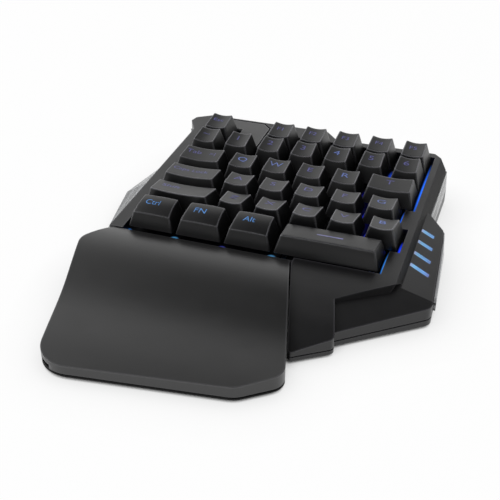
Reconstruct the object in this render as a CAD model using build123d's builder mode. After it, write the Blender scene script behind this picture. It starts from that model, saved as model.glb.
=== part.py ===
from build123d import *
from math import asin, cos, radians, sin, tan
import os

os.makedirs("parts", exist_ok=True)

# One-handed gaming keypad. Millimetres, +X right along the key rows, +Y to the back, +Z up.
# Field places run from the front left corner of the key field, and heights from the desk.

# Key field
key_pitch = 19.05
field_units = 7
field_rows = 6
field_width = key_pitch * field_units
field_depth = key_pitch * field_rows
deck_tilt = 4.0
deck_front_height = 17.0
key_travel = 3.5

# Keys of each row from the front, with their widths as shares of the pitch
key_rows = (
    ("ctrl", "fn", "alt", "space"),
    ("shift", "z", "x", "c", "v", "b"),
    ("caps", "a", "s", "d", "f", "g"),
    ("tab", "q", "w", "e", "r", "t"),
    ("grave", "1", "2", "3", "4", "5", "6"),
    ("esc", "land", "f1", "f2", "f3", "f4", "f5"),
)
key_width_shares = (
    (4 / 3, 4 / 3, 4 / 3, 2.75),
    (2, 1, 1, 1, 1, 1),
    (1.75, 1, 1, 1, 1, 1),
    (1.5, 1, 1, 1, 1, 1.5),
    (1, 1, 1, 1, 1, 1, 1),
    (1, 1, 1, 1, 1, 1, 1),
)

# Outline of the top case
rail_width = 8.0
rail_flat_width = 4.2
shelf_depth = 4.9
badge_shelf_depth = 12.6
badge_shelf_right = 69.0
badge_shelf_slant = 7.2
back_corner_cut = 7.8
tail_reach = 13.6
tail_back = 117.0
tail_corner_reach = 12.2
tail_corner_back = 121.8
tail_slope_reach = 4.0
tail_notch_back = 107.0
front_lip = 2.4
wing_back = 61.0
wing_shoulder_back = 50.0
wing_shoulder_reach = 8.7
wing_mid_back = 44.0
wing_mid_reach = 9.6
wing_corner_reach = 14.0
wing_corner_drop = 11.0
step_right_inset = 13.2
step_right_drop = 46.0
step_left_inset = 30.3
step_left_drop = 58.0
step_corner_drop = 40.6
channel_inset = 46.3
wing_corner_radius = 5.0
step_radius = 3.0
corner_radius = 1.5

# Surfaces of the top case
parting_front_height = 5.0
parting_tilt = 1.5
parting_seam = 0.35
apron_reach = 60.0
apron_front_height = 5.2
rail_slope_drop = 4.6
groove_width = 2.3
groove_drop = 2.8
wing_face_drop = 5.0
rim_left_inset = 19.4
rim_left_drop = 23.4
rim_right_drop = 6.2
rim_bevel_width = 0.7
rim_bevel_drop = 1.8
groove_end_reach = 1.5
groove_end_rise = 3.2
facet_left_height = 12.6
facet_front_height = 8.6
facet_right_height = 14.0
shell_wall = 2.0
deck_wall = 2.2
well_gap = 0.9
well_front_drop = 1.8
well_skirt = 1.2
overrun = 40.0

# Light guides and bottom case
guide_proud = 1.5
guide_rim = 0.7
guide_top_depth = 5.6
guide_gap = 0.15
guide_front_drop = 4.0
guide_front_proud = 0.8
flank_mid_reach = 16.7
flank_reach = 25.6
flank_back = 51.0
flank_front_reach = 14.5
foot_height = 0.8
foot_recess = 1.2
foot_radius = 5.0
foot_gap = 0.1
base_floor = 1.8
base_wall = 2.0
base_edge_chamfer = 0.8
rib_wall = 1.6
long_rib_places = (14.0, 118.0)
short_rib_places = (47.0, 86.0)
rib_front_inset = 3.0
long_rib_back = 112.0
short_rib_back = 74.0
inlet_width = 6.0
inlet_floor = 3.2
inlet_place = 44.0

# Palm rest
palm_gap = 0.3
palm_back_right_inset = 46.9
palm_right_reach = 107.6
palm_right_drop = 75.5
palm_nose_reach = 91.0
palm_nose_drop = 88.8
palm_heel_reach = 6.6
palm_heel_drop = 100.6
palm_left_reach = 15.0
palm_left_drop = 19.5
palm_shoulder_reach = 5.4
palm_back_height = 16.4
palm_hump_height = 17.9
palm_hump_drop = 10.5
palm_dip_height = 11.2
palm_dip_drop = 52.0
palm_slope_height = 8.8
palm_slope_drop = 80.0
palm_lip_height = 6.9
palm_wall = 2.2
palm_seam = 0.35
palm_parting = 2.6
palm_heel_radius = 16.0
palm_nose_radius = 12.0
palm_shoulder_radius = 9.0
palm_side_radius = 8.0
tongue_width = 22.0
tongue_depth = 13.0
tongue_thickness = 2.0
tongue_gap = 0.3

# Keycaps
cap_height = 10.5
cap_inset = 0.78
cap_drop = 0.85
cap_side_slope = 0.29
cap_wall = 1.3
cap_roof = 1.4
cap_corner_radius = 0.7
dish_depth = 1.0
bar_crown = 0.8
post_width = 4.9
post_reach = 6.6
post_seat = 0.6
brace_thickness = 1.0
brace_rise = 4.3
front_place_shares = (0.17, 0.15, 0.19, 0.20, 0.20, 0.15)
back_place_shares = (0.88, 0.85, 0.86, 0.85, 0.87, 0.88)
front_height_shares = (0.70, 0.96, 0.81, 0.75, 0.87, 0.85)
back_height_shares = (0.87, 0.71, 0.70, 0.81, 1.01, 0.96)
space_place_shares = (0.21, 0.89)
space_height_shares = (0.88, 0.62)

# Switch stack under the deck
guide_depth = 4.9
guide_thickness = 1.5
chimney_width = 7.6
chimney_bore = 5.2
chimney_rise = 0.3
stack_side_reach = 3.2
stack_front_reach = 0.6
stack_back_reach = 1.8
stack_corner_cut = 4.6
sheet_side_reach = 0.9
dome_sheet_depth = 10.9
dome_sheet_thickness = 0.6
dome_height = 4.1
dome_radius = 4.6
dome_taper = 28
dome_sides = 12
membrane_thickness = 0.4
backlight_thickness = 0.5
steel_thickness = 0.8
stack_screw_places = (28.0, 66.0, 105.0)
stack_boss_width = 4.0
stack_hole_gap = 0.3
screw_radius = 1.0
screw_gap = 0.08
screw_pass_gap = 0.3
plate_screw_head_radius = 1.9
plate_screw_head_height = 1.1
plate_screw_length = 6.0

# Space bar wire
wire_radius = 0.6
wire_arm = 9.0
wire_place = 14.3
wire_depth = 2.2
wire_end_inset = 6.4
wire_tip = 2.6
wire_gap = 0.12
wire_play = 0.5
ear_thickness = 1.6
ear_wall = 0.8
ear_inset = 4.0
ear_window_gap = 0.8
clip_width = 3.0
clip_wall = 1.1
clip_inset = 12.0
clip_slit = 0.9

# Badge plate, light bars and boards
badge_left = 4.0
badge_right = 35.0
badge_margin = 0.3
badge_thickness = 1.0
badge_gap = 0.9
badge_bevel = 4.6
badge_rim = 0.8
lens_count = 4
lens_back = 45.1
lens_pitch = 10.0
lens_width = 2.4
lens_radius = 0.4
lens_inset = 0.3
lens_length = 6.7
lens_growth = 1.03
lens_angle = 27.5
lens_gap = 0.1
lens_bar_back_width = 7.8
lens_bar_front_width = 10.8
lens_bar_margin = 0.6
lens_bar_thickness = 1.4
lamp_board_thickness = 1.2
lamp_board_gap = 0.3
lamp_post_places = ((144.6, 40.0), (145.6, 14.0))
board_length = 76.0
board_width = 26.0
board_thickness = 1.4
board_left = 28.0
board_front = 82.0
board_height = 5.2
board_post_radius = 2.2
board_post_inset = 4.0
chip_size = 9.0
chip_height = 1.2
clamp_length = 42.0
clamp_width = 4.0
clamp_height = 1.6
clamp_inset = 3.0

# Screws and feet
boss_radius = 2.8
head_radius = 2.2
head_height = 1.1
head_gap = 0.1
screw_grip = 4.0
palm_screw_grip = 3.0
case_screw_places = ((3.0, 120.4), (60.0, 120.4), (146.0, 0.0), (112.0, -38.0), (98.0, -12.0))
palm_screw_places = ((18.0, -10.0), (62.0, -10.0), (22.0, -74.0), (86.0, -68.0))
base_foot_places = ((2.0, 106.0), (126.0, 106.0), (136.0, 12.0), (2.0, 14.0))
palm_foot_places = ((14.0, -88.0), (90.0, -79.0))

# Places worked out from the sizes above
tilt = radians(deck_tilt)
parting_slope = radians(parting_tilt)
rail_right = field_width + rail_width
crease = field_width + rail_flat_width
shelf_back = field_depth + shelf_depth
badge_back = field_depth + badge_shelf_depth
wing_corner = rail_right + wing_corner_reach
step_right = field_width - step_right_inset
rim_left = field_width - rim_left_inset
step_lean = (step_right - rim_left) / (step_right_drop - rim_left_drop)
step_corner = rim_left + step_lean * (step_corner_drop - rim_left_drop)
channel_left = field_width - channel_inset
palm_back_right = field_width - palm_back_right_inset
palm_back = front_lip + palm_gap
floor_top = foot_height + base_floor
steel_depth = dome_sheet_depth + dome_sheet_thickness + membrane_thickness + backlight_thickness
stack_depth = steel_depth + steel_thickness
row_fronts = [key_pitch * row for row in range(field_rows + 1)]
row_rights = [key_pitch * sum(shares) for shares in key_width_shares]
middle_x = (wing_corner - flank_reach) / 2
middle_y = (badge_back - palm_heel_drop) / 2

floor_plane = Plane(origin=(-middle_x, -middle_y, 0))
side_plane = Plane(origin=floor_plane.origin, x_dir=(0, 1, 0), z_dir=(1, 0, 0))
deck = Plane(
    origin=(-middle_x, -middle_y, deck_front_height),
    x_dir=(1, 0, 0),
    z_dir=(0, -sin(tilt), cos(tilt)),
)
deck_section = Plane(origin=deck.origin, x_dir=(1, 0, 0), z_dir=(0, -cos(tilt), -sin(tilt)))
deck_side = Plane(origin=deck.origin, x_dir=(0, cos(tilt), sin(tilt)), z_dir=(1, 0, 0))
parting = Plane(
    origin=(-middle_x, -middle_y, parting_front_height),
    x_dir=(1, 0, 0),
    z_dir=(0, -sin(parting_slope), cos(parting_slope)),
)


def field_point(x, y, z):
    """A point from its place on the key field and its height above the desk."""
    return Vector(x - middle_x, y - middle_y, z)


def deck_height(y):
    """Height of the deck above the desk at a place y behind the field's front edge."""
    return deck_front_height + y * tan(tilt)


def outline_face(corners):
    """A filled outline with rounded corners, each given as x, y and its radius."""
    places = [(x, y) for x, y, radius in corners]
    radii = [radius for x, y, radius in corners]
    with BuildSketch(Plane.XY) as outline:
        with BuildLine():
            FilletPolyline(*places, radius=radii, close=True)
        make_face()
    return outline.sketch


def inset_face(corners, inset):
    """A filled outline with sharp corners, drawn in by inset on all sides."""
    with BuildSketch(Plane.XY) as outline:
        with BuildLine():
            Polyline(*[(x, y) for x, y, radius in corners], close=True)
        make_face()
        offset(amount=-inset, kind=Kind.INTERSECTION)
    return outline.sketch


def stack_face(side_reach, openings):
    """The outline of one layer under the keys, its back right corner cut off, less some openings."""
    right = field_width + side_reach
    back = field_depth + stack_back_reach
    with BuildSketch(Plane.XY) as layer:
        with BuildLine():
            Polyline(
                (-side_reach, -stack_front_reach),
                (right, -stack_front_reach),
                (right, back - stack_corner_cut),
                (right - stack_corner_cut, back),
                (-side_reach, back),
                close=True,
            )
        make_face()
        if openings:
            add(openings, mode=Mode.SUBTRACT)
    return layer.sketch


# Outlines, corner by corner from the front left and on to the right
front_outline = [
    (channel_left, -front_lip, 0),
    (field_width - step_left_inset, -step_left_drop, corner_radius),
    (step_right, -step_right_drop, step_radius),
    (step_corner, -step_corner_drop, 0),
    (wing_corner, -wing_corner_drop, wing_corner_radius),
]
back_outline = [
    (badge_shelf_right + badge_shelf_slant, shelf_back, 0),
    (badge_shelf_right, badge_back, corner_radius),
    (-tail_slope_reach, badge_back, corner_radius),
    (-tail_corner_reach, tail_corner_back, corner_radius),
]
right_line = [
    (rail_right + wing_mid_reach, wing_mid_back, corner_radius),
    (rail_right + wing_shoulder_reach, wing_shoulder_back, corner_radius),
    (rail_right, wing_back, 0),
    (rail_right, shelf_back - back_corner_cut, corner_radius),
    (rail_right - back_corner_cut, shelf_back, corner_radius),
]
top_outline = (
    [(-rail_width, -front_lip, 0)]
    + front_outline
    + right_line
    + back_outline
    + [(-tail_reach, tail_back, corner_radius), (-rail_width, tail_notch_back, 0)]
)
lower_outline = (
    [(-flank_front_reach, -front_lip, corner_radius)]
    + front_outline
    + [(x + guide_proud, y, radius) for x, y, radius in right_line]
    + back_outline
    + [(-tail_reach - guide_proud, tail_back, corner_radius), (-flank_reach, flank_back, step_radius)]
)
palm_outline = [
    (palm_back_right, -palm_back, corner_radius),
    (-palm_shoulder_reach, -palm_back, corner_radius),
    (-palm_left_reach, -palm_left_drop, palm_shoulder_radius),
    (palm_heel_reach, -palm_heel_drop, palm_heel_radius),
    (palm_nose_reach, -palm_nose_drop, palm_nose_radius),
    (palm_right_reach, -palm_right_drop, palm_side_radius),
]
top_face = outline_face(top_outline)
lower_face = outline_face(lower_outline)
palm_face = outline_face(palm_outline)

# Well in the deck, with stepped right walls and a land for the badge in the back row
land_left = key_pitch + well_gap
land_right = land_left + key_pitch - 2 * well_gap
well_corners = [
    (-well_gap, -well_gap, 0),
    (row_rights[0] + well_gap, -well_gap, 0),
    (row_rights[0] + well_gap, row_fronts[1] - well_gap, 0),
    (row_rights[1] + well_gap, row_fronts[1] - well_gap, 0),
    (row_rights[1] + well_gap, row_fronts[2] + well_gap, 0),
    (row_rights[2] + well_gap, row_fronts[2] + well_gap, 0),
    (row_rights[2] + well_gap, row_fronts[3] - well_gap, 0),
    (row_rights[3] + well_gap, row_fronts[3] - well_gap, 0),
    (row_rights[3] + well_gap, field_depth + well_gap, 0),
    (land_right, field_depth + well_gap, 0),
    (land_right, row_fronts[5] + well_gap, 0),
    (land_left, row_fronts[5] + well_gap, 0),
    (land_left, field_depth + well_gap, 0),
    (-well_gap, field_depth + well_gap, 0),
]
well_face = outline_face(well_corners)
well_skirt_face = inset_face(well_corners, -well_skirt)

# Planes of the facet, its rim and the light bars on the wing
rim_left_top = field_point(rim_left, -rim_left_drop, facet_left_height + rim_bevel_drop)
rim_right_top = field_point(crease, -rim_right_drop, deck_height(-rim_right_drop))
facet_left = field_point(rim_left + rim_bevel_width, -rim_left_drop - rim_bevel_width, facet_left_height)
facet_front = field_point(step_corner, -step_corner_drop, facet_front_height)
facet_right = field_point(crease + groove_width, -rim_right_drop + groove_width, facet_right_height)
facet_plane = Plane(
    origin=facet_front,
    x_dir=facet_right - facet_front,
    z_dir=(facet_right - facet_front).cross(facet_left - facet_front),
)
rim_plane = Plane(
    origin=rim_left_top,
    x_dir=rim_right_top - rim_left_top,
    z_dir=(facet_left - rim_left_top).cross(rim_right_top - rim_left_top),
)
step_along = Vector(rim_left - step_right, step_right_drop - rim_left_drop, 0)
step_plane = Plane(
    origin=field_point(step_right, -step_right_drop, 0),
    x_dir=step_along,
    z_dir=step_along.cross(Vector(0, 0, 1)),
)
groove_end = field_point(crease + groove_end_reach, -rim_right_drop + groove_end_rise, facet_right_height)
groove_end_along = Vector(groove_end_reach, groove_end_rise, 0)
groove_end_plane = Plane(
    origin=groove_end,
    x_dir=groove_end_along,
    z_dir=groove_end_along.cross(Vector(0, 0, 1)),
)
wing_face_left = crease + groove_width
wing_face_fall = deck.z_dir * (wing_face_drop - groove_drop)
wing_face_along = Vector(1, 0, 0) * (wing_corner - wing_face_left) - wing_face_fall
wing_face = Plane(
    origin=deck.from_local_coords((wing_face_left, 0, -groove_drop)),
    x_dir=wing_face_along,
    z_dir=wing_face_along.cross(deck.y_dir),
)


def case_form(plan, drop, inset):
    """The body of the top case over a plan, under surfaces lowered by drop and drawn in by inset."""
    with BuildPart() as rail_cut:
        with BuildSketch(deck_section.offset(-wing_back)):
            with BuildLine():
                Polyline(
                    (crease - drop, -drop),
                    (rail_right, -rail_slope_drop - drop),
                    (rail_right + overrun, -rail_slope_drop - drop),
                    (rail_right + overrun, overrun),
                    (crease - drop, overrun),
                    close=True,
                )
            make_face()
        extrude(amount=-field_depth)
    with BuildPart() as wing_cut:
        with BuildSketch(deck_section.offset(-wing_back)):
            with BuildLine():
                Polyline(
                    (crease - drop, -drop),
                    (wing_face_left, -groove_drop - drop),
                    (wing_corner, -wing_face_drop - drop),
                    (wing_corner + overrun, -wing_face_drop - drop),
                    (wing_corner + overrun, overrun),
                    (crease - drop, overrun),
                    close=True,
                )
            make_face()
        extrude(amount=wing_back + step_left_drop)
    with BuildPart() as facet_cut:
        with BuildSketch(facet_plane.offset(-drop)):
            Rectangle(field_width, field_width)
        extrude(amount=overrun)
        split(bisect_by=step_plane.offset(-inset), keep=Keep.TOP)
    with BuildPart() as rim_cut:
        add(facet_cut.part)
        split(bisect_by=rim_plane.offset(-drop), keep=Keep.TOP)
    with BuildPart() as groove_end_cut:
        add(facet_cut.part)
        split(bisect_by=groove_end_plane.offset(-inset), keep=Keep.TOP)
    with BuildPart() as form:
        with BuildSketch(floor_plane):
            add(plan)
        extrude(amount=overrun)
        with BuildSketch(side_plane.offset(-field_width)):
            with BuildLine():
                TangentArc(
                    (0, deck_front_height - drop),
                    (-apron_reach, apron_front_height - drop),
                    tangent=(-cos(tilt), -sin(tilt)),
                )
                Polyline(
                    (-apron_reach, apron_front_height - drop),
                    (-apron_reach, -drop),
                    (field_width, -drop),
                    (field_width, deck_height(field_width) - drop),
                    (0, deck_front_height - drop),
                )
            make_face()
        extrude(amount=3 * field_width, mode=Mode.INTERSECT)
        add(rail_cut.part, mode=Mode.SUBTRACT)
        add(wing_cut.part, mode=Mode.SUBTRACT)
        add(rim_cut.part, mode=Mode.SUBTRACT)
        add(groove_end_cut.part, mode=Mode.SUBTRACT)
    return form.part


def lens_face(index, gap):
    """The slanted outline of one light bar on the wing's face, grown by gap on all sides."""
    run = lens_length + lens_growth * index
    back = lens_back - lens_pitch * index
    fall = run * tan(radians(lens_angle))
    with BuildSketch(Plane.XY) as face:
        add(
            outline_face(
                [
                    (lens_inset, back + lens_width / 2, lens_radius),
                    (lens_inset, back - lens_width / 2, lens_radius),
                    (lens_inset + run, back - fall - lens_width / 2, lens_radius),
                    (lens_inset + run, back - fall + lens_width / 2, lens_radius),
                ]
            )
        )
        if gap:
            offset(amount=gap)
    return face.sketch


outer_form = case_form(top_face, 0, 0)
inner_form = case_form(inset_face(top_outline, shell_wall), deck_wall, shell_wall)

# Badge plate
badge_front = row_fronts[5] + well_gap + badge_margin
badge_plate_back = badge_back - badge_rim - badge_gap
badge_neck_back = field_depth + well_gap + badge_margin
badge_corners = [
    (land_left + badge_margin, badge_front, 0),
    (badge_right, badge_front, 0),
    (badge_right, badge_plate_back - badge_bevel, 0),
    (badge_right - badge_bevel, badge_plate_back, 0),
    (badge_left, badge_plate_back, 0),
    (badge_left, badge_neck_back, 0),
    (land_left + badge_margin, badge_neck_back, 0),
]

with BuildPart() as badge_plate:
    with BuildSketch(deck.offset(-badge_thickness)):
        add(outline_face(badge_corners))
    extrude(amount=badge_thickness)
    add(outer_form, mode=Mode.INTERSECT)
badge_plate.part.label = "badge_plate"
export_step(badge_plate.part, "parts/badge_plate.step")

# Top case
with BuildPart() as case_bosses:
    with BuildSketch(floor_plane.offset(floor_top)):
        with Locations(*case_screw_places):
            Circle(boss_radius)
    extrude(amount=overrun)
    add(outer_form, mode=Mode.INTERSECT)

with BuildPart() as top_case:
    add(outer_form)
    split(bisect_by=parting, keep=Keep.TOP)
    chamfer(faces().sort_by(Axis(field_point(0, 0, 0), parting.z_dir))[0].edges(), parting_seam)
    add(inner_form, mode=Mode.SUBTRACT)
    with BuildSketch(deck.offset(-guide_depth)):
        add(well_skirt_face)
    extrude(amount=guide_depth - deck_wall / 2)
    with BuildSketch(deck.offset(-guide_depth)):
        add(well_face)
    extrude(amount=overrun, mode=Mode.SUBTRACT)
    with BuildSketch(deck.offset(-well_front_drop)):
        with Locations((channel_left / 2, -well_gap - overrun / 2)):
            Rectangle(channel_left + 2 * well_gap, overrun)
    extrude(amount=overrun, mode=Mode.SUBTRACT)
    add(case_bosses.part)
    with BuildSketch(floor_plane.offset(floor_top)):
        with Locations(*case_screw_places):
            Circle(screw_radius + screw_gap)
    extrude(amount=screw_grip + screw_gap, mode=Mode.SUBTRACT)
    with BuildSketch(deck.offset(-badge_thickness)):
        add(inset_face(badge_corners, -badge_gap))
    extrude(amount=overrun, mode=Mode.SUBTRACT)
    with BuildSketch(wing_face.offset(-deck_wall - lens_gap)):
        for index in range(lens_count):
            add(lens_face(index, lens_gap))
    extrude(amount=overrun, mode=Mode.SUBTRACT)
top_case.part.label = "top_case"
export_step(top_case.part, "parts/top_case.step")

# Light guides: ruled bodies from the bottom case's rim to a line under the deck, cut clear of the top case
chamfer_middle = back_corner_cut / 2
guide_end = rail_right + wing_corner_reach
right_guide_lines = []
for reach in (guide_proud, guide_rim):
    right_guide_lines.append(
        [
            (crease, -guide_front_drop),
            (guide_end + guide_front_proud, -guide_front_drop),
            (rail_right + wing_mid_reach + reach, wing_mid_back),
            (rail_right + wing_shoulder_reach + reach, wing_shoulder_back),
            (rail_right + reach, wing_back),
            (rail_right + reach, shelf_back - back_corner_cut),
            (rail_right - chamfer_middle + reach, shelf_back - chamfer_middle),
            (crease, shelf_back - chamfer_middle),
        ]
    )
left_guide_lines = [
    [
        (0, -front_lip),
        (0, tail_back),
        (-tail_reach - guide_proud, tail_back),
        (-flank_mid_reach, tail_notch_back),
        (-flank_reach, flank_back),
        (-flank_front_reach, -front_lip),
    ],
    [
        (0, -front_lip),
        (0, tail_back),
        (-tail_reach - guide_rim, tail_back),
        (-rail_width - guide_rim, tail_notch_back),
        (-rail_width - guide_rim, flank_back),
        (-rail_width - guide_rim, -front_lip),
    ],
]
guide_pocket = extrude(floor_plane * offset(top_face, amount=guide_gap), amount=overrun)

for name, lines in (("right_light_guide", right_guide_lines), ("left_light_guide", left_guide_lines)):
    with BuildPart() as light_guide:
        for plane, corners in zip((parting, deck.offset(-guide_top_depth)), lines):
            with BuildSketch(plane):
                with BuildLine():
                    Polyline(*corners, close=True)
                make_face()
        loft(ruled=True)
        add(guide_pocket, mode=Mode.SUBTRACT)
    light_guide.part.label = name
    export_step(light_guide.part, f"parts/{name}.step")

# Light bars of the wing on one back bar, and the board of lamps under it
lens_front = lens_back - lens_pitch * (lens_count - 1)
lens_fall = (lens_length + lens_growth * (lens_count - 1)) * tan(radians(lens_angle))
lens_bar_back = lens_back + lens_width / 2 + lens_bar_margin
lens_bar_front = lens_front - lens_fall - lens_width / 2 - lens_bar_margin
lens_bar_corners = [
    (0, lens_bar_front, corner_radius),
    (lens_bar_front_width, lens_bar_front, corner_radius),
    (lens_bar_back_width, lens_bar_back, corner_radius),
    (0, lens_bar_back, corner_radius),
]

with BuildPart() as wing_lenses:
    with BuildSketch(wing_face.offset(-deck_wall - lens_gap)):
        for index in range(lens_count):
            add(lens_face(index, 0))
    extrude(amount=deck_wall + lens_gap)
    with BuildSketch(wing_face.offset(-deck_wall - lens_gap)):
        add(outline_face(lens_bar_corners))
    extrude(amount=-lens_bar_thickness)
wing_lenses.part.label = "wing_lenses"
export_step(wing_lenses.part, "parts/wing_lenses.step")

lamp_depth = deck_wall + lens_gap + lens_bar_thickness + lamp_board_gap
with BuildPart() as wing_light_board:
    with BuildSketch(wing_face.offset(-lamp_depth)):
        add(outline_face(lens_bar_corners))
    extrude(amount=-lamp_board_thickness)
wing_light_board.part.label = "wing_light_board"
export_step(wing_light_board.part, "parts/wing_light_board.step")

# Bottom case: tray, ribs under the steel plate, posts, tongues for the palm rest, inlet and recesses
with BuildPart() as case_ribs:
    with BuildSketch(floor_plane.offset(foot_height)):
        rib_length = long_rib_back - rib_front_inset
        for place in long_rib_places:
            with Locations((place, rib_front_inset + rib_length / 2)):
                Rectangle(rib_wall, rib_length)
        rib_length = short_rib_back - rib_front_inset
        for place in short_rib_places:
            with Locations((place, rib_front_inset + rib_length / 2)):
                Rectangle(rib_wall, rib_length)
    extrude(amount=overrun)
    split(bisect_by=deck.offset(-stack_depth), keep=Keep.BOTTOM)

with BuildPart() as lamp_posts:
    with BuildSketch(floor_plane.offset(foot_height)):
        with Locations(*lamp_post_places):
            Circle(board_post_radius)
    extrude(amount=overrun)
    split(bisect_by=wing_face.offset(-lamp_depth - lamp_board_thickness), keep=Keep.BOTTOM)

board_right = board_left + board_length
board_back = board_front + board_width
board_post_places = [
    (board_left + board_post_inset, board_front + board_post_inset),
    (board_right - board_post_inset, board_front + board_post_inset),
    (board_left + board_post_inset, board_back - board_post_inset),
    (board_right - board_post_inset, board_back - board_post_inset),
]
tongue_places = [(x, -front_lip - tongue_depth / 2) for x, y in palm_screw_places[:2]]

with BuildPart() as bottom_case:
    with BuildSketch(floor_plane.offset(foot_height)):
        add(lower_face)
    extrude(amount=overrun)
    split(bisect_by=parting, keep=Keep.BOTTOM)
    chamfer(faces().sort_by(Axis.Z)[0].edges(), base_edge_chamfer)
    chamfer(faces().sort_by(Axis(field_point(0, 0, 0), parting.z_dir))[-1].edges(), parting_seam)
    with BuildSketch(floor_plane.offset(floor_top)):
        add(inset_face(lower_outline, base_wall))
    extrude(amount=overrun, mode=Mode.SUBTRACT)
    add(case_ribs.part)
    add(lamp_posts.part)
    with BuildSketch(floor_plane.offset(foot_height)):
        with Locations(*board_post_places):
            Circle(board_post_radius)
    extrude(amount=board_height - foot_height)
    with BuildSketch(floor_plane.offset(palm_parting)):
        for x, y in tongue_places:
            with Locations((x, y + base_wall / 2)):
                Rectangle(tongue_width, tongue_depth + base_wall)
    extrude(amount=tongue_thickness)
    with BuildSketch(floor_plane.offset(palm_parting)):
        with Locations(*palm_screw_places[:2]):
            Circle(screw_radius + screw_pass_gap)
    extrude(amount=tongue_thickness, mode=Mode.SUBTRACT)
    with BuildSketch(floor_plane.offset(inlet_floor)):
        with Locations((inlet_place, badge_back)):
            Rectangle(inlet_width, 3 * base_wall)
    extrude(amount=overrun, mode=Mode.SUBTRACT)
    with BuildSketch(floor_plane.offset(foot_height)):
        with Locations(*base_foot_places):
            Circle(foot_radius + foot_gap)
        with Locations(*case_screw_places):
            Circle(head_radius + head_gap)
    extrude(amount=foot_recess, mode=Mode.SUBTRACT)
    with BuildSketch(floor_plane.offset(foot_height)):
        with Locations(*case_screw_places):
            Circle(screw_radius + screw_pass_gap)
    extrude(amount=base_floor, mode=Mode.SUBTRACT)
bottom_case.part.label = "bottom_case"
export_step(bottom_case.part, "parts/bottom_case.step")


def palm_form(plan, drop):
    """The body of the palm rest over a plan, under its hump and hollow lowered by drop."""
    with BuildPart() as form:
        with BuildSketch(floor_plane.offset(palm_parting)):
            add(plan)
        extrude(amount=overrun)
        with BuildSketch(side_plane.offset(-field_width)):
            with BuildLine():
                Spline(
                    (-palm_back, palm_back_height - drop),
                    (-palm_hump_drop, palm_hump_height - drop),
                    (-palm_dip_drop, palm_dip_height - drop),
                    (-palm_slope_drop, palm_slope_height - drop),
                    (-palm_heel_drop, palm_lip_height - drop),
                )
                Polyline(
                    (-palm_heel_drop, palm_lip_height - drop),
                    (-palm_heel_drop, -drop),
                    (-palm_back, -drop),
                    (-palm_back, palm_back_height - drop),
                )
            make_face()
        extrude(amount=3 * field_width, mode=Mode.INTERSECT)
    return form.part


# Palm rest: cover with its bosses and notches for the tongues, and flat base
palm_outer = palm_form(palm_face, 0)
palm_inner = palm_form(inset_face(palm_outline, palm_wall), palm_wall)

with BuildPart() as palm_bosses:
    with BuildSketch(floor_plane.offset(palm_parting)):
        with Locations(*palm_screw_places):
            Circle(boss_radius)
    extrude(amount=overrun)
    add(palm_outer, mode=Mode.INTERSECT)

with BuildPart() as palm_rest_cover:
    add(palm_outer)
    chamfer(faces().sort_by(Axis.Z)[0].edges(), palm_seam)
    add(palm_inner, mode=Mode.SUBTRACT)
    add(palm_bosses.part)
    with BuildSketch(floor_plane.offset(palm_parting)):
        for x, y in tongue_places:
            with Locations((x, y + tongue_gap)):
                Rectangle(tongue_width + 2 * tongue_gap, tongue_depth + 4 * tongue_gap)
    extrude(amount=tongue_thickness + tongue_gap, mode=Mode.SUBTRACT)
    with BuildSketch(floor_plane.offset(palm_parting)):
        with Locations(*palm_screw_places):
            Circle(screw_radius + screw_gap)
    extrude(amount=palm_screw_grip + screw_gap, mode=Mode.SUBTRACT)
palm_rest_cover.part.label = "palm_rest_cover"
export_step(palm_rest_cover.part, "parts/palm_rest_cover.step")

with BuildPart() as palm_rest_base:
    with BuildSketch(floor_plane.offset(foot_height)):
        add(palm_face)
    extrude(amount=palm_parting - foot_height)
    chamfer(faces().sort_by(Axis.Z)[0].edges(), base_edge_chamfer)
    chamfer(faces().sort_by(Axis.Z)[-1].edges(), palm_seam)
    with BuildSketch(floor_plane.offset(foot_height)):
        with Locations(*palm_foot_places):
            Circle(foot_radius + foot_gap)
        with Locations(*palm_screw_places):
            Circle(head_radius + head_gap)
    extrude(amount=foot_recess, mode=Mode.SUBTRACT)
    with BuildSketch(floor_plane.offset(foot_height)):
        with Locations(*palm_screw_places):
            Circle(screw_radius + screw_pass_gap)
    extrude(amount=base_floor, mode=Mode.SUBTRACT)
palm_rest_base.part.label = "palm_rest_base"
export_step(palm_rest_base.part, "parts/palm_rest_base.step")

# Screws of the two bases, and the feet
for name, places, grip in (
    ("case_screws", case_screw_places, screw_grip),
    ("palm_screws", palm_screw_places, palm_screw_grip),
):
    with BuildPart() as screws:
        with BuildSketch(floor_plane.offset(foot_height + head_gap)):
            with Locations(*places):
                Circle(head_radius)
        extrude(amount=head_height)
        with BuildSketch(floor_plane.offset(foot_height + head_gap)):
            with Locations(*places):
                Circle(screw_radius)
        extrude(amount=base_floor - head_gap + grip)
    screws.part.label = name
    export_step(screws.part, f"parts/{name}.step")

with BuildPart() as rubber_feet:
    with BuildSketch(floor_plane):
        with Locations(*base_foot_places, *palm_foot_places):
            Circle(foot_radius)
    extrude(amount=foot_height + foot_recess)
rubber_feet.part.label = "rubber_feet"
export_step(rubber_feet.part, "parts/rubber_feet.step")

# Controller board on its posts, with its chip and the bar that presses the membrane's tail on it
board_top = board_height + board_thickness
board_middle = (board_left + board_length / 2, board_front + board_width / 2)

with BuildPart() as controller_board:
    with BuildSketch(floor_plane.offset(board_height)):
        with Locations(board_middle):
            Rectangle(board_length, board_width)
    extrude(amount=board_thickness)
controller_board.part.label = "controller_board"
export_step(controller_board.part, "parts/controller_board.step")

with BuildPart() as controller_chip:
    with BuildSketch(floor_plane.offset(board_top)):
        with Locations(board_middle):
            Rectangle(chip_size, chip_size)
    extrude(amount=chip_height)
controller_chip.part.label = "controller_chip"
export_step(controller_chip.part, "parts/controller_chip.step")

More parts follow.
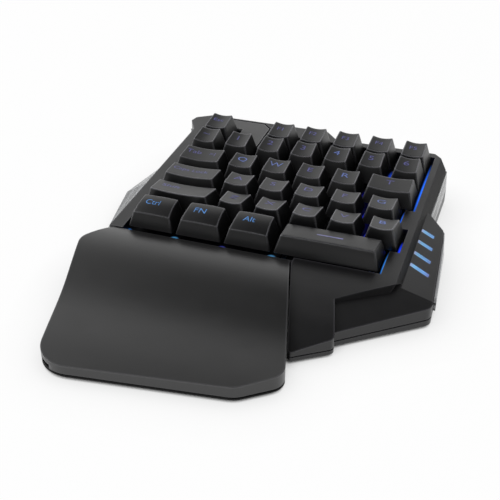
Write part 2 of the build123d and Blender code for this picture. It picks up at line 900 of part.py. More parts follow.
with BuildPart() as membrane_clamp:
    with BuildSketch(floor_plane.offset(board_top)):
        with Locations((board_left + board_length / 2, board_back - clamp_inset)):
            Rectangle(clamp_length, clamp_width)
    extrude(amount=clamp_height)
membrane_clamp.part.label = "membrane_clamp"
export_step(membrane_clamp.part, "parts/membrane_clamp.step")

# Sheets and steel plate of the switch stack, with openings for the guide plate's screw bosses
key_places = []
key_table = []
for row in range(field_rows):
    left = 0
    for name, share in zip(key_rows[row], key_width_shares[row]):
        width = key_pitch * share
        if name != "land":
            key_places.append((left + width / 2, row_fronts[row] + key_pitch / 2))
            key_table.append((name, row, left, width))
        left = left + width
stack_boss_places = [(x, row_fronts[row]) for x in stack_screw_places for row in range(2, field_rows, 2)]

with BuildSketch(Plane.XY) as boss_openings:
    with Locations(*stack_boss_places):
        Rectangle(stack_boss_width + 2 * stack_hole_gap, stack_boss_width + 2 * stack_hole_gap)

with BuildSketch(Plane.XY) as screw_openings:
    with Locations(*stack_boss_places):
        Circle(screw_radius + screw_pass_gap)

with BuildPart() as rubber_dome_sheet:
    with BuildSketch(deck.offset(-dome_sheet_depth - dome_sheet_thickness)):
        add(stack_face(sheet_side_reach, boss_openings.sketch))
    extrude(amount=dome_sheet_thickness)
    with BuildSketch(deck.offset(-dome_sheet_depth)):
        with Locations(*key_places):
            RegularPolygon(dome_radius, dome_sides)
    extrude(amount=dome_height, taper=dome_taper)
rubber_dome_sheet.part.label = "rubber_dome_sheet"
export_step(rubber_dome_sheet.part, "parts/rubber_dome_sheet.step")

membrane_depth = dome_sheet_depth + dome_sheet_thickness + membrane_thickness
for name, depth, thickness in (
    ("membrane_sheet", membrane_depth, membrane_thickness),
    ("backlight_sheet", steel_depth, backlight_thickness),
):
    with BuildPart() as sheet:
        with BuildSketch(deck.offset(-depth)):
            add(stack_face(sheet_side_reach, boss_openings.sketch))
        extrude(amount=thickness)
    sheet.part.label = name
    export_step(sheet.part, f"parts/{name}.step")

with BuildPart() as steel_base_plate:
    with BuildSketch(deck.offset(-stack_depth)):
        add(stack_face(stack_side_reach, screw_openings.sketch))
    extrude(amount=steel_thickness)
steel_base_plate.part.label = "steel_base_plate"
export_step(steel_base_plate.part, "parts/steel_base_plate.step")

with BuildPart() as plate_screws:
    with BuildSketch(deck.offset(-stack_depth - plate_screw_head_height)):
        with Locations(*stack_boss_places):
            Circle(plate_screw_head_radius)
    extrude(amount=plate_screw_head_height)
    with BuildSketch(deck.offset(-stack_depth)):
        with Locations(*stack_boss_places):
            Circle(screw_radius)
    extrude(amount=plate_screw_length)
plate_screws.part.label = "plate_screws"
export_step(plate_screws.part, "parts/plate_screws.step")

# Guide plate with its chimneys, screw bosses, wire clips and windows for the space bar's ears
space_name, space_row, space_left, space_width = key_table[3]
space_right = space_left + space_width
wire_lean = asin(key_travel / 2 / wire_arm)
tip_place = wire_place - wire_arm * cos(wire_lean)
tip_depth = wire_depth - wire_arm * sin(wire_lean)
ear_width = wire_play + 2 * (wire_radius + wire_gap + ear_wall)
ear_lefts = (space_left + ear_inset, space_right - ear_inset - ear_thickness)
clip_lefts = (space_left + clip_inset, space_right - clip_inset - clip_width)
clip_radius = wire_radius + wire_gap + clip_wall

with BuildPart() as key_guide_plate:
    with BuildSketch(deck.offset(-guide_depth - guide_thickness)):
        add(stack_face(stack_side_reach, None))
        for left in ear_lefts:
            with Locations((left + ear_thickness / 2, tip_place)):
                Rectangle(
                    ear_thickness + 2 * ear_window_gap, ear_width + 2 * ear_window_gap, mode=Mode.SUBTRACT
                )
    extrude(amount=guide_thickness)
    with BuildSketch(deck.offset(-guide_depth)):
        with Locations(*key_places):
            Rectangle(chimney_width, chimney_width)
    extrude(amount=guide_depth + chimney_rise)
    with BuildSketch(deck.offset(-steel_depth)):
        with Locations(*stack_boss_places):
            Rectangle(stack_boss_width, stack_boss_width)
    extrude(amount=steel_depth - guide_depth - guide_thickness)
    for left in clip_lefts:
        with BuildSketch(deck_side.offset(left)):
            with Locations((wire_place, -wire_depth)):
                Circle(clip_radius)
            with Locations((wire_place, (-wire_depth - guide_depth) / 2)):
                Rectangle(2 * clip_radius, guide_depth - wire_depth)
            with Locations((wire_place, -wire_depth)):
                Circle(wire_radius + wire_gap, mode=Mode.SUBTRACT)
            with Locations((wire_place, clip_radius / 2 - wire_depth)):
                Rectangle(clip_slit, clip_radius, mode=Mode.SUBTRACT)
        extrude(amount=clip_width)
    with BuildSketch(deck.offset(-guide_depth - guide_thickness)):
        with Locations(*key_places):
            Rectangle(chimney_bore, chimney_bore)
    extrude(amount=overrun, mode=Mode.SUBTRACT)
    with BuildSketch(deck.offset(-steel_depth)):
        with Locations(*stack_boss_places):
            Circle(screw_radius + screw_gap)
    extrude(amount=plate_screw_length - steel_thickness + screw_gap, mode=Mode.SUBTRACT)
key_guide_plate.part.label = "key_guide_plate"
export_step(key_guide_plate.part, "parts/key_guide_plate.step")

# Space bar's levelling wire: a long bar with two arms and turned-out tips
wire_left = space_left + wire_end_inset
wire_right = space_right - wire_end_inset

with BuildPart() as space_stabiliser:
    with BuildLine() as wire_path:
        Polyline(
            deck.from_local_coords((wire_left - wire_tip, tip_place, -tip_depth)),
            deck.from_local_coords((wire_left, tip_place, -tip_depth)),
            deck.from_local_coords((wire_left, wire_place, -wire_depth)),
            deck.from_local_coords((wire_right, wire_place, -wire_depth)),
            deck.from_local_coords((wire_right, tip_place, -tip_depth)),
            deck.from_local_coords((wire_right + wire_tip, tip_place, -tip_depth)),
        )
        fillet(wire_path.vertices().sort_by(Axis.X)[1:-1], wire_radius * 2)
    with BuildSketch(Plane(origin=wire_path.line @ 0, z_dir=wire_path.line % 0)):
        Circle(wire_radius)
    sweep()
space_stabiliser.part.label = "space_stabiliser"
export_step(space_stabiliser.part, "parts/space_stabiliser.step")


def cap_slope(row, name):
    """The top line of a cap in its row: places of its two ends along the cell, and their heights."""
    place_shares = (front_place_shares[row], back_place_shares[row])
    height_shares = (front_height_shares[row], back_height_shares[row])
    if name == "space":
        place_shares = space_place_shares
        height_shares = space_height_shares
    front_place = row_fronts[row] + key_pitch * place_shares[0]
    back_place = row_fronts[row] + key_pitch * place_shares[1]
    return (front_place, cap_height * height_shares[0]), (back_place, cap_height * height_shares[1])


def cap_block(row, left, width, top_line, wall, sink):
    """A cap's tapered block, drawn in by wall at the sides and lowered by sink at the top."""
    front_top, back_top = top_line
    base_left = left + cap_inset + wall
    base_right = left + width - cap_inset - wall
    lean = cap_side_slope * (cap_drop + 2 * cap_height)
    row_front = row_fronts[row]
    with BuildPart() as block:
        with BuildSketch(deck_side.offset(base_left)):
            with BuildLine():
                Polyline(
                    (row_front + cap_inset + wall, -cap_drop),
                    (row_front + key_pitch - cap_inset - wall, -cap_drop),
                    (back_top[0] - wall, back_top[1] - sink),
                    (front_top[0] + wall, front_top[1] - sink),
                    close=True,
                )
            make_face()
        extrude(amount=base_right - base_left)
        with BuildSketch(deck_section.offset(-row_front - key_pitch)):
            with BuildLine():
                Polyline(
                    (base_left, -cap_drop),
                    (base_right, -cap_drop),
                    (base_right - lean, 2 * cap_height),
                    (base_left + lean, 2 * cap_height),
                    close=True,
                )
            make_face()
        extrude(amount=key_pitch, mode=Mode.INTERSECT)
    return block.part


def keycap(name, row, left, width):
    """One keycap: a tapered shell with a dished or crowned top, its guide post and two braces."""
    top_line = cap_slope(row, name)
    front_top, back_top = top_line
    sink = dish_depth + cap_roof
    rise = (back_top[1] - front_top[1]) / (back_top[0] - front_top[0])
    middle = (left + width / 2, row_fronts[row] + key_pitch / 2)
    post_top = front_top[1] + rise * (middle[1] - front_top[0]) - sink + post_seat
    top_width = width - 2 * (cap_inset + cap_side_slope * (front_top[1] + cap_drop))
    top_plane = Plane(
        origin=deck.from_local_coords((middle[0], front_top[0], front_top[1])),
        x_dir=(1, 0, 0),
        z_dir=-(deck.y_dir + deck.z_dir * rise),
    )
    with BuildPart() as core:
        with BuildSketch(deck.offset(brace_rise)):
            with Locations(middle):
                Rectangle(width, brace_thickness)
                Rectangle(brace_thickness, key_pitch)
        extrude(amount=post_top - brace_rise)
        add(cap_block(row, left, width, top_line, cap_wall / 2, sink - post_seat), mode=Mode.INTERSECT)
    with BuildPart() as cap:
        add(cap_block(row, left, width, top_line, 0, 0))
        fillet(
            cap.edges().filter_by(lambda edge: abs((edge % 0).dot(deck.z_dir)) > abs(cos(radians(45)))),
            cap_corner_radius,
        )
        if row == 0:
            bar_radius = (top_width**2 / 4 + bar_crown**2) / (2 * bar_crown)
            with BuildSketch(top_plane.offset(-key_pitch)):
                with Locations((0, -bar_radius)):
                    Circle(bar_radius)
            extrude(amount=2 * key_pitch, mode=Mode.INTERSECT)
        else:
            dish_radius = (top_width**2 / 4 + dish_depth**2) / (2 * dish_depth)
            with BuildSketch(top_plane.offset(-key_pitch)):
                with Locations((0, dish_radius - dish_depth)):
                    Circle(dish_radius)
            extrude(amount=2 * key_pitch, mode=Mode.SUBTRACT)
        add(cap_block(row, left, width, top_line, cap_wall, sink), mode=Mode.SUBTRACT)
        add(core.part)
        with BuildSketch(deck.offset(-post_reach)):
            with Locations(middle):
                Rectangle(post_width, post_width)
        extrude(amount=post_reach + post_top)
        if name == "space":
            ear_top = front_top[1] + rise * (tip_place - front_top[0]) - sink + post_seat
            ear_bottom = -tip_depth - wire_radius - wire_gap - ear_wall
            for ear_left in ear_lefts:
                with BuildSketch(deck_side.offset(ear_left)):
                    with Locations((tip_place, (ear_top + ear_bottom) / 2)):
                        Rectangle(ear_width, ear_top - ear_bottom)
                    with Locations((tip_place, -tip_depth)):
                        SlotOverall(
                            wire_play + 2 * (wire_radius + wire_gap),
                            2 * (wire_radius + wire_gap),
                            mode=Mode.SUBTRACT,
                        )
                extrude(amount=ear_thickness)
    return cap.part


for name, row, left, width in key_table:
    cap = keycap(name, row, left, width)
    cap.label = f"key_{name}"
    export_step(cap, f"parts/key_{name}.step")
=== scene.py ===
"""One-handed gaming keypad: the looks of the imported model, its studio and its camera."""

from __future__ import annotations

import logging
import math
from dataclasses import dataclass, field
from enum import Enum

import bpy
import numpy as np
from mathutils import Matrix, Vector

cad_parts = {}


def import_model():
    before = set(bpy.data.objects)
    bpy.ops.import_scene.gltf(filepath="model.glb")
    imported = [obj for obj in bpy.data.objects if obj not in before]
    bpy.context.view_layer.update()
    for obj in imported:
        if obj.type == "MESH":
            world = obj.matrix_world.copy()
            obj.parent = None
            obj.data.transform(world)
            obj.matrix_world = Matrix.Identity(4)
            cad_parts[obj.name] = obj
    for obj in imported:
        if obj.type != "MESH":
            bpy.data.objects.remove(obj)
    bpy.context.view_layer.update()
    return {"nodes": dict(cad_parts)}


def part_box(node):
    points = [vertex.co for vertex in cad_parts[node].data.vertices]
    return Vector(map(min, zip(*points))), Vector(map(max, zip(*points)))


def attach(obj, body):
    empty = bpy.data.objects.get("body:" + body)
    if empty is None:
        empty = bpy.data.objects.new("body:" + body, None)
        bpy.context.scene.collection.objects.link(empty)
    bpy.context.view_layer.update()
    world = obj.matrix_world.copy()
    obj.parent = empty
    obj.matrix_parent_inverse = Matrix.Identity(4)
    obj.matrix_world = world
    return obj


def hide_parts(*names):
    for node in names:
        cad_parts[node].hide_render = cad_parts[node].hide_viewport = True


LOG = logging.getLogger("keypad")
MM = 0.001
DECK_TILT = math.radians(4.0)

# The part of a noise's values that is spread over a finish's whole reach
NOISE_SPAN = (0.3, 0.7)

# Sockets of a Mix node that mixes colours
MIX_LOW = 6
MIX_HIGH = 7
MIX_RESULT = 2


# Meshes


def mesh_object(name: str, points: np.ndarray, faces: list, smooth: bool = True) -> bpy.types.Object:
    """Makes a mesh object from whole arrays.

    Args:
        name: The object's name.
        points: Places of the vertices in metres, one row each.
        faces: Vertex numbers of each face, counter-clockwise from outside.
        smooth: Whether its faces are shaded smooth.

    Returns:
        The new object, linked to the scene.
    """
    mesh = bpy.data.meshes.new(name)
    mesh.from_pydata(points.tolist(), [], faces)
    mesh.update()
    if smooth:
        mesh.shade_smooth()
    piece = bpy.data.objects.new(name, mesh)
    bpy.context.scene.collection.objects.link(piece)
    return piece


def ring_faces(rows: int, count: int) -> list:
    """Faces of a closed skin: rows of rings joined by quads, and a fan to one point at each end.

    The vertices are the first pole, then row after row of count points, then the last pole.

    Args:
        rows: How many rings there are.
        count: How many points each ring has.

    Returns:
        Vertex numbers of each face.
    """
    here = np.arange(count)
    ahead = (here + 1) % count
    start = 1 + np.arange(rows - 1)[:, None] * count
    quads = np.stack([start + here, start + ahead, start + count + ahead, start + count + here], axis=-1)
    last_row = 1 + (rows - 1) * count
    first_fan = np.stack([np.zeros(count, int), 1 + ahead, 1 + here], axis=-1)
    last_fan = np.stack([np.full(count, last_row + count), last_row + here, last_row + ahead], axis=-1)
    return quads.reshape(-1, 4).tolist() + first_fan.tolist() + last_fan.tolist()


@dataclass(frozen=True)
class RoundedRing:
    """Points round a rounded rectangle, as corner shares and outward directions.

    A point is the corner share times (half size less radius), plus the direction times the radius.
    """

    corner_steps: int = 5
    side_steps: int = 8

    def parts(self) -> tuple[np.ndarray, np.ndarray]:
        """Corner shares and unit directions of the ring's points, counter-clockwise from the right side."""
        shares, directions = [], []
        signs = np.array([[1, -1], [1, 1], [-1, 1], [-1, -1]], float)
        along = np.linspace(-1, 1, self.side_steps + 2)[1:-1]
        for side in range(4):
            angle = side * math.pi / 2
            out = np.array([math.cos(angle), math.sin(angle)])
            across = np.array([-out[1], out[0]])
            shares.append(out[None, :] + along[:, None] * across[None, :])
            directions.append(np.repeat(out[None, :], self.side_steps, axis=0))
            turn = angle + np.linspace(0, math.pi / 2, self.corner_steps)
            shares.append(np.repeat(signs[(side + 1) % 4][None, :], self.corner_steps, axis=0))
            directions.append(np.stack([np.cos(turn), np.sin(turn)], axis=-1))
        return np.concatenate(shares), np.concatenate(directions)


# Finishes


@dataclass(frozen=True)
class Nodes:
    """A short way to write a material's node tree."""

    tree: bpy.types.NodeTree

    def add(self, kind: str, **values: object) -> bpy.types.Node:
        """Adds a node and sets its inputs, or its properties where it has no such input.

        Args:
            kind: The node's type.
            values: Input or property names, with underscores for spaces in an input's name.

        Returns:
            The new node.
        """
        node = self.tree.nodes.new(kind)
        for key, value in values.items():
            label = key.replace("_", " ")
            socket = next((s for s in node.inputs if s.name.lower() == label.lower()), None)
            if socket is None:
                setattr(node, key, value)
            else:
                socket.default_value = value
        return node

    def link(
        self, source: bpy.types.Node, output: str | int, target: bpy.types.Node, socket: str | int
    ) -> None:
        """Joins an output of one node to an input of another."""
        self.tree.links.new(source.outputs[output], target.inputs[socket])

    def noise(
        self, size: float, detail: float, stretch: tuple = (1, 1, 1), tilt: float = 0.0
    ) -> bpy.types.Node:
        """Adds a noise in Object coordinates.

        Args:
            size: The size of its grain, in metres.
            detail: How many finer layers it has.
            stretch: Its scale along the axes.
            tilt: How far its plane leans about X, in radians.

        Returns:
            The noise node.
        """
        place, output = self.add("ShaderNodeTexCoord"), "Object"
        if tilt:
            lean = self.add("ShaderNodeMapping")
            lean.inputs["Rotation"].default_value = (-tilt, 0, 0)
            self.link(place, output, lean, "Vector")
            place, output = lean, "Vector"
        turn = self.add("ShaderNodeMapping")
        turn.inputs["Scale"].default_value = stretch
        noise = self.add("ShaderNodeTexNoise", Scale=1 / size, Detail=detail)
        self.link(place, output, turn, "Vector")
        self.link(turn, "Vector", noise, "Vector")
        return noise

    def remap(self, source: bpy.types.Node, output: str | int, span: tuple, reach: tuple) -> bpy.types.Node:
        """Turns a value's span into a reach, held at its ends."""
        node = self.add("ShaderNodeMapRange")
        for name, value in zip(("From Min", "From Max", "To Min", "To Max"), (*span, *reach)):
            node.inputs[name].default_value = value
        self.link(source, output, node, "Value")
        return node

    def math(self, operation: str, first: bpy.types.Node, second: bpy.types.Node) -> bpy.types.Node:
        """Joins the first outputs of two nodes by a sum, a product or the larger of them."""
        node = self.add("ShaderNodeMath", operation=operation)
        self.link(first, 0, node, 0)
        self.link(second, 0, node, 1)
        return node

    def blend(self, share: bpy.types.Node, low: tuple, high: tuple) -> bpy.types.Node:
        """Mixes two colours by a share; the mixed colour is the output MIX_RESULT."""
        node = self.add("ShaderNodeMix", data_type="RGBA")
        node.inputs[MIX_LOW].default_value = (*low, 1)
        node.inputs[MIX_HIGH].default_value = (*high, 1)
        self.link(share, 0, node, 0)
        return node

    def tone(self, share: bpy.types.Node, colour: tuple, spread: tuple) -> bpy.types.Node:
        """Mixes a darker and a lighter tone of a colour, given as shares of it."""
        return self.blend(share, *(tuple(c * part for c in colour) for part in spread))

    def ramp(self, stops: tuple) -> bpy.types.Node:
        """A colour ramp from stops of place and colour, the first two being its ends."""
        node = self.add("ShaderNodeValToRGB")
        elements = node.color_ramp.elements
        for number, (spot, shade) in enumerate(stops):
            point = elements[number] if number < 2 else elements.new(spot)
            point.position = spot
            point.color = (*shade, 1)
        return node

    def screen_rays(self) -> bpy.types.Node:
        """One for camera, glossy and transmitted rays, and nothing for the rays that carry light."""
        path = self.add("ShaderNodeLightPath")
        seen = self.add("ShaderNodeMath", operation="MAXIMUM")
        all_seen = self.add("ShaderNodeMath", operation="MAXIMUM")
        self.link(path, "Is Camera Ray", seen, 0)
        self.link(path, "Is Glossy Ray", seen, 1)
        self.link(seen, 0, all_seen, 0)
        self.link(path, "Is Transmission Ray", all_seen, 1)
        return all_seen


def new_material(name: str) -> tuple[bpy.types.Material, Nodes, bpy.types.Node]:
    """A material with an empty tree, its writer and its surface output node."""
    material = bpy.data.materials.new(name)
    material.use_nodes = True
    material.node_tree.nodes.clear()
    nodes = Nodes(material.node_tree)
    output = nodes.add("ShaderNodeOutputMaterial")
    return material, nodes, output


@dataclass(frozen=True)
class Pool:
    """A soft pool of light on the guide plate: its middle and half sizes on the deck, and its colour."""

    across: float
    along: float
    half_across: float
    half_along: float
    colour: tuple[float, float, float] = (0.012, 0.03, 0.9)


@dataclass(frozen=True)
class MouldedPlastic:
    """Moulded plastic: fine spark-eroded grain, cloudy sheen, soft edges and a painted highlight on its outer
    edges.

    The edge highlight is how many times lighter the outer edges are painted than the plastic, and nothing for
    none.
    It is held to the places where the piece's named attribute is one, if one is given.
    """

    name: str
    colour: tuple[float, float, float]
    roughness: float = 0.36
    grain_size: float = 0.35 * MM
    grain_height: float = 0.03 * MM
    grain_strength: float = 0.6
    patch_size: float = 14 * MM
    patch_strength: float = 0.03
    tone_spread: tuple[float, float] = (0.85, 1.2)
    edge_radius: float = 0.3 * MM
    specular: float = 0.5
    edge_highlight: float = 0.0
    highlight_width: float = 0.8 * MM
    highlight_span: tuple[float, float] = (0.95, 0.68)
    highlight_places: str = ""
    pool_height: float = 15 * MM
    pool_depth: float = 20 * MM
    pool_core: float = 0.8

    def material(self, pools: tuple[Pool, ...] = ()) -> bpy.types.Material:
        """Builds the material.

        Args:
            pools: Pools of light on it, in metres of the row's frame.

        Returns:
            The material.
        """
        material, nodes, output = new_material(self.name)
        shader = nodes.add("ShaderNodeBsdfPrincipled", IOR=1.5)
        shader.inputs["Specular IOR Level"].default_value = self.specular
        patches = nodes.noise(self.patch_size, 3.0)
        grain = nodes.noise(self.grain_size, 2.0)
        reach = (self.roughness - self.patch_strength, self.roughness + self.patch_strength)
        nodes.link(nodes.remap(patches, 0, NOISE_SPAN, reach), 0, shader, "Roughness")
        tone = nodes.tone(patches, self.colour, self.tone_spread)
        # Painted highlight: a lighter colour on the outer edges, standing in for the light they catch
        if self.edge_highlight:
            tone = self.painted_highlight(nodes, tone)
        nodes.link(tone, MIX_RESULT, shader, "Base Color")
        bump = nodes.add("ShaderNodeBump", Strength=self.grain_strength, Distance=self.grain_height)
        nodes.link(grain, 0, bump, "Height")
        if self.edge_radius:
            bevel = nodes.add("ShaderNodeBevel", Radius=self.edge_radius, samples=4)
            nodes.link(bevel, "Normal", bump, "Normal")
        nodes.link(bump, "Normal", shader, "Normal")
        if pools:
            self.light(nodes, shader, pools)
        nodes.link(shader, "BSDF", output, "Surface")
        return material

    def painted_highlight(self, nodes: Nodes, tone: bpy.types.Node) -> bpy.types.Node:
        """Paints a highlight on the outer edges, found as places with little of their own solid behind them.

        Args:
            nodes: The tree's writer.
            tone: The plastic's own colour.

        Returns:
            The mix of the two colours.
        """
        depth = nodes.add(
            "ShaderNodeAmbientOcclusion", inside=True, only_local=True, samples=6, Distance=self.highlight_width
        )
        edge = nodes.remap(depth, "AO", self.highlight_span, (0, 1))
        if self.highlight_places:
            reached = nodes.add("ShaderNodeAttribute", attribute_name=self.highlight_places)
            edge = nodes.math("MULTIPLY", edge, nodes.remap(reached, "Fac", (0, 1), (0, 1)))
        painted_highlight = nodes.blend(edge, self.colour, tuple(c * self.edge_highlight for c in self.colour))
        nodes.link(tone, MIX_RESULT, painted_highlight, MIX_LOW)
        return painted_highlight

    def light(self, nodes: Nodes, shader: bpy.types.Node, pools: tuple[Pool, ...]) -> None:
        """Adds the pools' colours up: each is a ball that fades with the distance from its middle.

        Args:
            nodes: The tree's writer.
            shader: The shader that glows.
            pools: The pools of light.
        """
        total = None
        for pool in pools:
            place = nodes.add("ShaderNodeTexCoord")
            turn = nodes.add("ShaderNodeMapping", vector_type="TEXTURE")
            turn.inputs["Location"].default_value = (pool.across, pool.along, self.pool_height)
            turn.inputs["Scale"].default_value = (pool.half_across, pool.half_along, self.pool_depth)
            ball = nodes.add("ShaderNodeTexGradient", gradient_type="SPHERICAL")
            nodes.link(place, "Object", turn, "Vector")
            nodes.link(turn, "Vector", ball, "Vector")
            share = nodes.remap(ball, "Fac", (0, self.pool_core), (0, 1))
            glow = nodes.blend(share, (0, 0, 0), pool.colour)
            if total is not None:
                both = nodes.add("ShaderNodeMix", data_type="RGBA", blend_type="ADD")
                both.inputs[0].default_value = 1.0
                nodes.link(total, MIX_RESULT, both, MIX_LOW)
                nodes.link(glow, MIX_RESULT, both, MIX_HIGH)
                glow = both
            total = glow
        nodes.link(total, MIX_RESULT, shader, "Emission Color")
        shader.inputs["Emission Strength"].default_value = 1.0


@dataclass(frozen=True)
class ClearPlastic:
    """Clear moulded plastic with bands along it, where the light inside is caught or lost."""

    name: str
    dark: tuple[float, float, float] = (0.38, 0.39, 0.4)
    light: tuple[float, float, float] = (0.78, 0.8, 0.83)
    roughness: float = 0.2
    roughness_spread: tuple[float, float] = (-0.05, 0.1)
    transmission: float = 0.6
    band_height: float = 1.7 * MM
    band_stretch: tuple[float, float, float] = (0.01, 0.01, 1)
    band_span: tuple[float, float] = (0.38, 0.6)
    line_share: float = 0.5
    line_height: float = 0.015 * MM
    line_strength: float = 0.5
    line_stretch: tuple[float, float, float] = (1, 0.04, 1)

    def material(self) -> bpy.types.Material:
        """Builds the material."""
        material, nodes, output = new_material(self.name)
        shader = nodes.add("ShaderNodeBsdfPrincipled", IOR=1.49, Transmission_Weight=self.transmission)
        bands = nodes.noise(self.band_height, 1.0, self.band_stretch, DECK_TILT)
        lines = nodes.noise(self.band_height * self.line_share, 2.0, self.line_stretch)
        tone = nodes.blend(nodes.remap(bands, 0, self.band_span, (0, 1)), self.dark, self.light)
        nodes.link(tone, MIX_RESULT, shader, "Base Color")
        reach = tuple(self.roughness + step for step in self.roughness_spread)
        nodes.link(nodes.remap(lines, 0, NOISE_SPAN, reach), 0, shader, "Roughness")
        bump = nodes.add("ShaderNodeBump", Strength=self.line_strength, Distance=self.line_height)
        nodes.link(lines, 0, bump, "Height")
        nodes.link(bump, "Normal", shader, "Normal")
        nodes.link(shader, "BSDF", output, "Surface")
        return material


@dataclass(frozen=True)
class GlowingPlastic:
    """Translucent plastic lit from behind, with the light uneven across it.

    The ends, if given, are stops of place and colour across the lit span.
    """

    name: str
    colour: tuple[float, float, float]
    glow: tuple[float, float, float]
    strength: float
    patch_size: float = 6 * MM
    unevenness: float = 0.3
    roughness: float = 0.4
    ends: tuple = ()

    def material(self, span: tuple[float, float] | None = None) -> bpy.types.Material:
        """Builds the material.

        Args:
            span: Places of the lit bars' left and right ends, where the light's colour runs across.

        Returns:
            The material.
        """
        material, nodes, output = new_material(self.name)
        shader = nodes.add("ShaderNodeBsdfPrincipled", IOR=1.45)
        shader.inputs["Base Color"].default_value = (*self.colour, 1)
        shader.inputs["Roughness"].default_value = self.roughness
        shader.inputs["Emission Color"].default_value = (*self.glow, 1)
        patches = nodes.noise(self.patch_size, 1.0)
        reach = (self.strength * (1 - self.unevenness), self.strength * (1 + self.unevenness))
        nodes.link(nodes.remap(patches, 0, NOISE_SPAN, reach), 0, shader, "Emission Strength")
        if span and self.ends:
            place = nodes.add("ShaderNodeTexCoord")
            parts = nodes.add("ShaderNodeSeparateXYZ")
            nodes.link(place, "Object", parts, 0)
            ramp = nodes.ramp(self.ends)
            nodes.link(nodes.remap(parts, "X", span, (0, 1)), 0, ramp, "Fac")
            nodes.link(ramp, "Color", shader, "Emission Color")
        nodes.link(shader, "BSDF", output, "Surface")
        return material


@dataclass(frozen=True)
class PlatedMetal:
    """Plated steel with fine rolled lines."""

    name: str
    colour: tuple[float, float, float] = (0.56, 0.57, 0.58)
    tone_spread: tuple[float, float] = (0.85, 1.1)
    patch_size: float = 12 * MM
    roughness: float = 0.32
    roughness_spread: tuple[float, float] = (-0.08, 0.12)
    line_size: float = 0.5 * MM
    line_stretch: tuple[float, float, float] = (1, 0.05, 1)

    def material(self) -> bpy.types.Material:
        """Builds the material."""
        material, nodes, output = new_material(self.name)
        shader = nodes.add("ShaderNodeBsdfPrincipled", Metallic=1.0)
        tone = nodes.tone(nodes.noise(self.patch_size, 2.0), self.colour, self.tone_spread)
        nodes.link(tone, MIX_RESULT, shader, "Base Color")
        lines = nodes.noise(self.line_size, 3.0, self.line_stretch)
        reach = tuple(self.roughness + step for step in self.roughness_spread)
        nodes.link(nodes.remap(lines, 0, NOISE_SPAN, reach), 0, shader, "Roughness")
        nodes.link(shader, "BSDF", output, "Surface")
        return material


class Finish(Enum):
    """The keypad's finishes, each built once and shared."""

    # Where an edge factor is given, the outer edges get a painted highlight that many times lighter than the
    # plastic
    CASE = MouldedPlastic("case_black", (0.009, 0.0088, 0.01), specular=0.6, edge_highlight=7.0)
    PALM = MouldedPlastic(
        "palm_soft_touch",
        (0.008, 0.008, 0.0085),
        roughness=0.33,
        patch_strength=0.01,
        specular=0.85,
        edge_highlight=9.0,
    )
    # The keys' painted edge highlight is held to the marked upper part of each cap
    KEY = MouldedPlastic(
        "key_satin",
        (0.009, 0.009, 0.0098),
        edge_radius=0.0,
        specular=0.6,
        edge_highlight=36.0,
        highlight_places="highlight_reach",
    )
    UNDERSIDE = MouldedPlastic("underside_black", (0.005, 0.005, 0.005), roughness=0.5, specular=0.2)
    # The badge plate's light grey is a painted highlight: the back light's reflection on a black plate
    BADGE = MouldedPlastic("badge_painted_highlight", (0.14, 0.14, 0.142), roughness=0.5, edge_highlight=2.0)
    GUIDE = MouldedPlastic("guide_black", (0.006, 0.006, 0.008), roughness=0.6, specular=0.2)
    CLEAR = ClearPlastic("clear_flank")
    CLEAR_STRIP = ClearPlastic(
        "clear_strip",
        (0.05, 0.052, 0.055),
        (0.8, 0.81, 0.83),
        transmission=0.1,
        band_height=1.3 * MM,
        band_span=(0.42, 0.52),
    )
    LENS = GlowingPlastic(
        "lit_wing_bar",
        (0.2, 0.3, 0.5),
        (0.3, 0.65, 1.0),
        0.48,
        ends=(
            (0.0, (0.6, 0.5, 0.8)),
            (1.0, (0.12, 0.1, 0.5)),
            (0.25, (0.2, 0.6, 1.0)),
            (0.7, (0.12, 0.42, 1.0)),
        ),
    )
    LEGEND_BRIGHT = GlowingPlastic(
        "legend_bright", (0.05, 0.1, 0.2), (0.06, 0.2, 0.5), 0.8, patch_size=2 * MM
    )
    LEGEND_CLEAR = GlowingPlastic(
        "legend_clear", (0.1, 0.12, 0.2), (0.08, 0.13, 0.4), 0.7, patch_size=2 * MM
    )
    LEGEND_FAINT = GlowingPlastic(
        "legend_faint", (0.08, 0.08, 0.14), (0.06, 0.06, 0.22), 0.75, patch_size=2 * MM
    )
    LEGEND_BAR = GlowingPlastic(
        "legend_bar", (0.15, 0.15, 0.2), (0.12, 0.12, 0.3), 0.8, patch_size=3 * MM
    )
    RUBBER = MouldedPlastic("foot_rubber", (0.02, 0.02, 0.02), roughness=0.75, edge_radius=0.0)
    SILICONE = MouldedPlastic("dome_silicone", (0.6, 0.6, 0.62), roughness=0.5, edge_radius=0.0)
    FILM = MouldedPlastic("sheet_film", (0.7, 0.72, 0.74), roughness=0.35, edge_radius=0.0)
    BOARD = MouldedPlastic("board_green", (0.02, 0.13, 0.05), roughness=0.35, edge_radius=0.0)
    CHIP = MouldedPlastic("chip_black", (0.015, 0.015, 0.015), roughness=0.3, edge_radius=0.0)
    STEEL = PlatedMetal("plated_steel")

    def material(self) -> bpy.types.Material:
        """The finish's material, made on first use."""
        return bpy.data.materials.get(self.value.name) or self.value.material()


